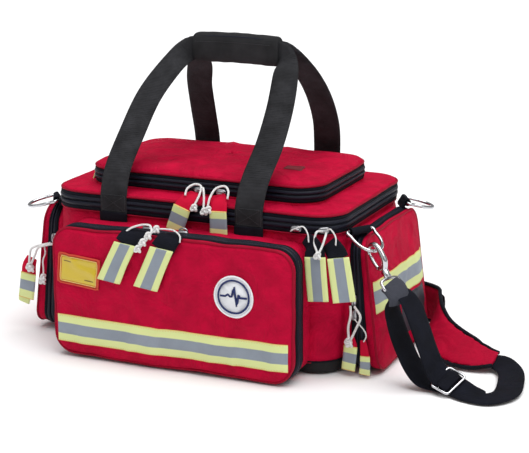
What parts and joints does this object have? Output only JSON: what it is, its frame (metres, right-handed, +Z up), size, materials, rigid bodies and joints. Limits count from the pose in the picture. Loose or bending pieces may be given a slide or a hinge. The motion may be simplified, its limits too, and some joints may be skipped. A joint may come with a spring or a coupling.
{
  "type": "first responder duffel bag",
  "caption": "Soft-sided red emergency duffel with zipped main lid, top, front and end pockets, paired carry loops, D-rings and a padded shoulder strap.",
  "frame": {"origin": "middle of the base panel on the ground", "axes": "+X to the right along the bag's length, -Y to the front pocket, +Z up"},
  "size_m": [0.8375, 0.4038, 0.469],
  "materials": {
    "red_cordura": "coated nylon weave, satin",
    "black_webbing": "woven nylon tape, matt",
    "charcoal_webbing": "woven nylon webbing, matt",
    "black_base": "coated reinforced base, satin",
    "reflective_tape": "fluorescent yellow and silver retroreflective tape",
    "hook_metal": "nickel-plated zinc",
    "slider_metal": "painted zinc zip slider",
    "id_window": "yellow card under clear film, orange stitched edge",
    "round_badge": "embroidered badge",
    "plain_patch": "plain stitched patch",
    "padded_red": "foam-filled woven nylon with black binding"
  },
  "bodies": {
    "bag_body": {"base_panel": "black_base", "body_shell": "red_cordura", "body_zip_tape": "black_webbing", "front_pocket_gusset": "red_cordura", "right_pocket_gusset": "red_cordura", "left_pocket_gusset": "red_cordura", "ring_tab_front_right": "black_webbing", "ring_tab_front_left": "black_webbing", "ring_tab_rear_right": "black_webbing", "ring_tab_rear_left": "black_webbing", "main_slider_b": "slider_metal", "front_hook": "hook_metal", "rear_hook": "hook_metal", "strap_front": "black_webbing", "shoulder_pad": "padded_red", "strap_rear": "black_webbing", "strap_buckle": "hook_metal", "right_slider_b": "slider_metal"},
    "lid": {"main_lid": "red_cordura", "lid_zip_tape": "black_webbing", "top_pocket_gusset": "red_cordura"},
    "top_pocket_cover": {"top_cover": "red_cordura", "top_cover_tape": "black_webbing", "top_patch": "plain_patch"},
    "front_pocket_cover": {"front_flap": "red_cordura", "front_flap_tape": "black_webbing", "front_reflective": "reflective_tape", "id_window": "id_window", "round_patch": "round_badge"},
    "right_pocket_cover": {"right_flap": "red_cordura", "right_reflective": "reflective_tape", "right_label": "plain_patch"},
    "left_pocket_cover": {"left_flap": "red_cordura", "left_reflective": "reflective_tape"},
    "ring_front_right": {"dring_front_right": "hook_metal"},
    "ring_front_left": {"dring_front_left": "hook_metal"},
    "ring_rear_right": {"dring_rear_right": "hook_metal"},
    "ring_rear_left": {"dring_rear_left": "hook_metal"},
    "slide_main_a": {"main_slider_a": "slider_metal"},
    "slide_top_a": {"top_slider_a": "slider_metal"},
    "slide_top_b": {"top_slider_b": "slider_metal"},
    "slide_front_a": {"front_slider_a": "slider_metal"},
    "slide_front_b": {"front_slider_b": "slider_metal"},
    "slide_right_a": {"right_slider_a": "slider_metal"},
    "slide_left_a": {"left_slider_a": "slider_metal"},
    "tag_main_a": {"main_pull_a": "charcoal_webbing"},
    "tag_main_b": {"main_pull_b": "charcoal_webbing"},
    "tag_top_a": {"top_pull_a": "charcoal_webbing"},
    "tag_top_b": {"top_pull_b": "charcoal_webbing"},
    "tag_front_a": {"front_pull_a": "charcoal_webbing"},
    "tag_front_b": {"front_pull_b": "charcoal_webbing"},
    "tag_right_a": {"right_pull_a": "charcoal_webbing"},
    "tag_right_b": {"right_pull_b": "charcoal_webbing"},
    "tag_left_a": {"left_pull_a": "charcoal_webbing"},
    "front_loop": {"front_handle": "charcoal_webbing"},
    "rear_loop": {"rear_handle": "charcoal_webbing", "grip_wrap": "black_webbing"},
    "front_gate": {"front_hook_gate": "hook_metal"},
    "rear_gate": {"rear_hook_gate": "hook_metal"}
  },
  "joints": [
    {"name": "main_lid_hinge", "type": "hinge", "parent": "bag_body", "child": "lid", "pos_m": [0, 0.1455, 0.225], "axis": [-1, 0, 0], "range_deg": [0, 100], "deforming": ["front_handle", "rear_handle", "grip_wrap"]},
    {"name": "top_cover_hinge", "type": "hinge", "parent": "lid", "child": "top_pocket_cover", "pos_m": [0, 0.1145, 0.2585], "axis": [-1, 0, 0], "range_deg": [0, 110]},
    {"name": "front_cover_hinge", "type": "hinge", "parent": "bag_body", "child": "front_pocket_cover", "pos_m": [0, -0.212, 0.024], "axis": [1, 0, 0], "range_deg": [0, 90], "deforming": ["front_pull_a", "front_pull_b"]},
    {"name": "right_cover_hinge", "type": "hinge", "parent": "bag_body", "child": "right_pocket_cover", "pos_m": [0.28786, 0, 0.024], "axis": [0, 1, 0], "range_deg": [0, 90], "deforming": ["strap_front", "shoulder_pad"]},
    {"name": "left_cover_hinge", "type": "hinge", "parent": "bag_body", "child": "left_pocket_cover", "pos_m": [-0.28786, 0, 0.024], "axis": [0, -1, 0], "range_deg": [0, 90]},
    {"name": "ring_front_right_hinge", "type": "hinge", "parent": "bag_body", "child": "ring_front_right", "pos_m": [0.25, -0.1, 0.213], "axis": [-0.5, -0.866, 0], "range_deg": [0, 4.5]},
    {"name": "ring_front_left_hinge", "type": "hinge", "parent": "bag_body", "child": "ring_front_left", "pos_m": [-0.25, -0.1, 0.213], "axis": [-0.5, 0.866, 0], "range_deg": [0, 110]},
    {"name": "ring_rear_right_hinge", "type": "hinge", "parent": "bag_body", "child": "ring_rear_right", "pos_m": [0.25, 0.1, 0.213], "axis": [0.5, -0.866, 0], "range_deg": [0, 110]},
    {"name": "ring_rear_left_hinge", "type": "hinge", "parent": "bag_body", "child": "ring_rear_left", "pos_m": [-0.25, 0.1, 0.213], "axis": [0.5, 0.866, 0], "range_deg": [0, 4.5]},
    {"name": "main_zip_slide", "type": "slide", "parent": "bag_body", "child": "slide_main_a", "axis": [1, 0, 0], "range_m": [-0.33, 0], "deforming": ["main_pull_a"]},
    {"name": "main_tag_a_hinge", "type": "hinge", "parent": "slide_main_a", "child": "tag_main_a", "pos_m": [0.176, -0.153, 0.212], "axis": [-1, 0, 0], "range_deg": [0, 100]},
    {"name": "main_tag_b_hinge", "type": "hinge", "parent": "bag_body", "child": "tag_main_b", "pos_m": [0.216, -0.149, 0.212], "axis": [-0.866, -0.5, 0], "range_deg": [0, 100]},
    {"name": "top_zip_left_slide", "type": "slide", "parent": "lid", "child": "slide_top_a", "axis": [1, 0, 0], "range_m": [-0.16, 0], "deforming": ["top_pull_a"]},
    {"name": "top_zip_right_slide", "type": "slide", "parent": "lid", "child": "slide_top_b", "axis": [1, 0, 0], "range_m": [0, 0.1], "deforming": ["top_pull_b"]},
    {"name": "top_tag_a_hinge", "type": "hinge", "parent": "slide_top_a", "child": "tag_top_a", "pos_m": [0.004, -0.122, 0.251], "axis": [-1, 0, 0], "range_deg": [0, 90]},
    {"name": "top_tag_b_hinge", "type": "hinge", "parent": "slide_top_b", "child": "tag_top_b", "pos_m": [0.04, -0.122, 0.251], "axis": [-1, 0, 0], "range_deg": [0, 90]},
    {"name": "front_zip_left_slide", "type": "slide", "parent": "bag_body", "child": "slide_front_a", "axis": [1, 0, 0], "range_m": [-0.1, 0]},
    {"name": "front_zip_right_slide", "type": "slide", "parent": "bag_body", "child": "slide_front_b", "axis": [1, 0, 0], "range_m": [0, 0.14]},
    {"name": "front_tag_a_hinge", "type": "hinge", "parent": "slide_front_a", "child": "tag_front_a", "pos_m": [-0.05, -0.19, 0.203], "axis": [-1, 0, 0], "range_deg": [0, 100]},
    {"name": "front_tag_b_hinge", "type": "hinge", "parent": "slide_front_b", "child": "tag_front_b", "pos_m": [0.008, -0.19, 0.203], "axis": [-1, 0, 0], "range_deg": [0, 100]},
    {"name": "right_zip_slide", "type": "slide", "parent": "bag_body", "child": "slide_right_a", "axis": [-0.0654, 0, 0.9979], "range_m": [0, 0.05], "deforming": ["right_pull_a"]},
    {"name": "right_tag_a_hinge", "type": "hinge", "parent": "slide_right_a", "child": "tag_right_a", "pos_m": [0.24595, -0.12, 0.105], "axis": [-1, 0, 0], "range_deg": [0, 90]},
    {"name": "right_tag_b_hinge", "type": "hinge", "parent": "bag_body", "child": "tag_right_b", "pos_m": [0.25306, -0.121, 0.083], "axis": [-1, 0, 0], "range_deg": [0, 110]},
    {"name": "left_zip_slide", "type": "slide", "parent": "bag_body", "child": "slide_left_a", "axis": [0.0654, 0, 0.9979], "range_m": [-0.035, 0.015]},
    {"name": "left_tag_a_hinge", "type": "hinge", "parent": "slide_left_a", "child": "tag_left_a", "pos_m": [-0.24693, -0.1205, 0.144], "axis": [-1, 0, 0], "range_deg": [0, 90]},
    {"name": "front_loop_hinge", "type": "hinge", "parent": "bag_body", "child": "front_loop", "pos_m": [0, -0.147, 0.206], "axis": [1, 0, 0], "range_deg": [0, 85]},
    {"name": "rear_loop_hinge", "type": "hinge", "parent": "bag_body", "child": "rear_loop", "pos_m": [0, 0.147, 0.206], "axis": [-1, 0, 0], "range_deg": [0, 85]},
    {"name": "front_gate_hinge", "type": "hinge", "parent": "bag_body", "child": "front_gate", "pos_m": [0.28975, -0.12607, 0.16715], "axis": [0.4599, 0.8865, 0.0508], "range_deg": [0, 16], "stiffness_Nm_per_rad": 0.02},
    {"name": "rear_gate_hinge", "type": "hinge", "parent": "bag_body", "child": "rear_gate", "pos_m": [-0.28975, 0.12607, 0.16715], "axis": [-0.4599, -0.8865, 0.0508], "range_deg": [0, 16], "stiffness_Nm_per_rad": 0.02}
  ]
}
